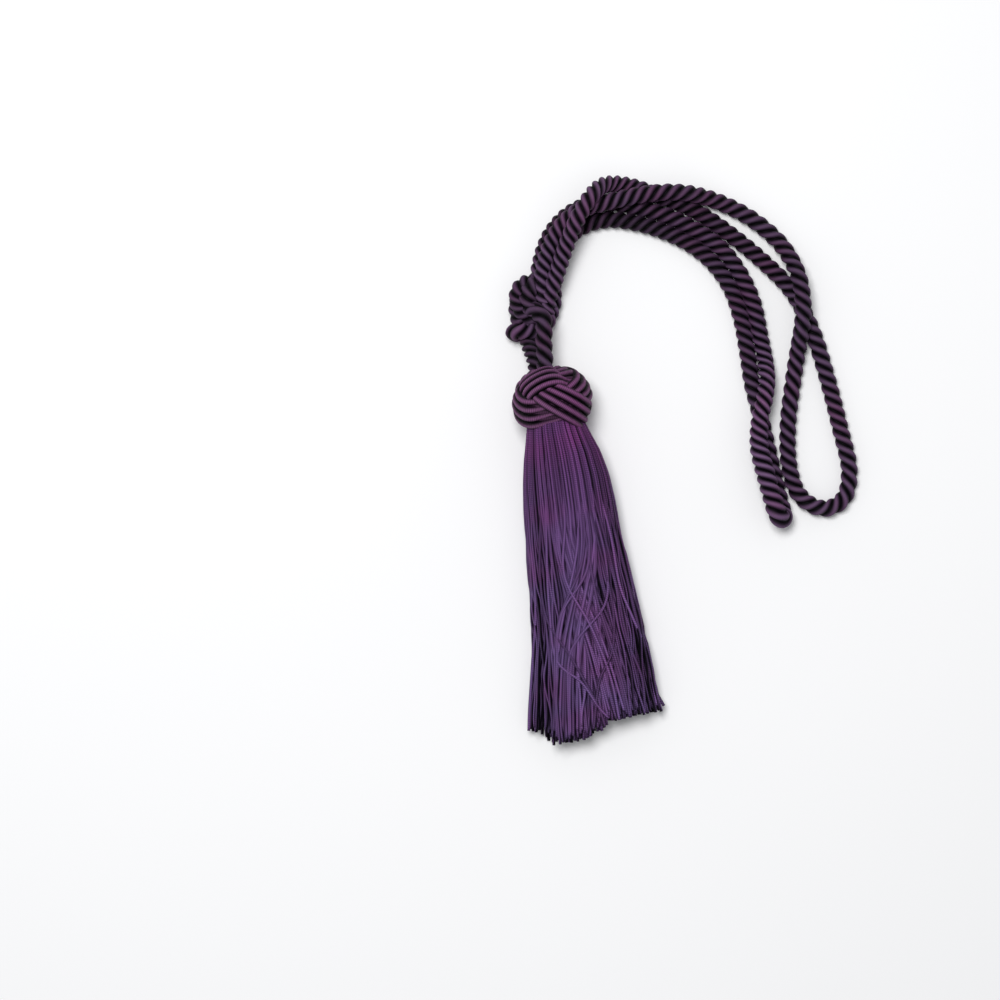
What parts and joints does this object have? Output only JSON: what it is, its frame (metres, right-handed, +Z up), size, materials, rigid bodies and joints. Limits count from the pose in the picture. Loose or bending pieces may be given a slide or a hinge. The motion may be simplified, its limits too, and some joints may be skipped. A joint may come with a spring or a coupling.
{
  "type": "curtain tieback tassel",
  "caption": "Rope tieback with a cut-cord tassel: a turk's head over a skirt of cords, a knot above it, and two doubled arms of three-ply rope, lying flat.",
  "frame": {"origin": "on the surface that the tieback lies on, under the middle of the box of the head, skirt and knot", "axes": "+Z up from the surface, +Y from the skirt's cut ends towards the head and knot, +X towards the side on which the rope arms lie"},
  "size_m": [0.2088, 0.3381, 0.0458],
  "materials": {
    "rope": "twisted satin yarn",
    "head_cord": "wrapped satin cord",
    "skirt_cord": "fine twisted satin cord"
  },
  "bodies": {
    "root": {"head": "head_cord", "skirt": "skirt_cord", "knot": "rope", "arm_1": "rope", "arm_2": "rope"}
  },
  "joints": []
}
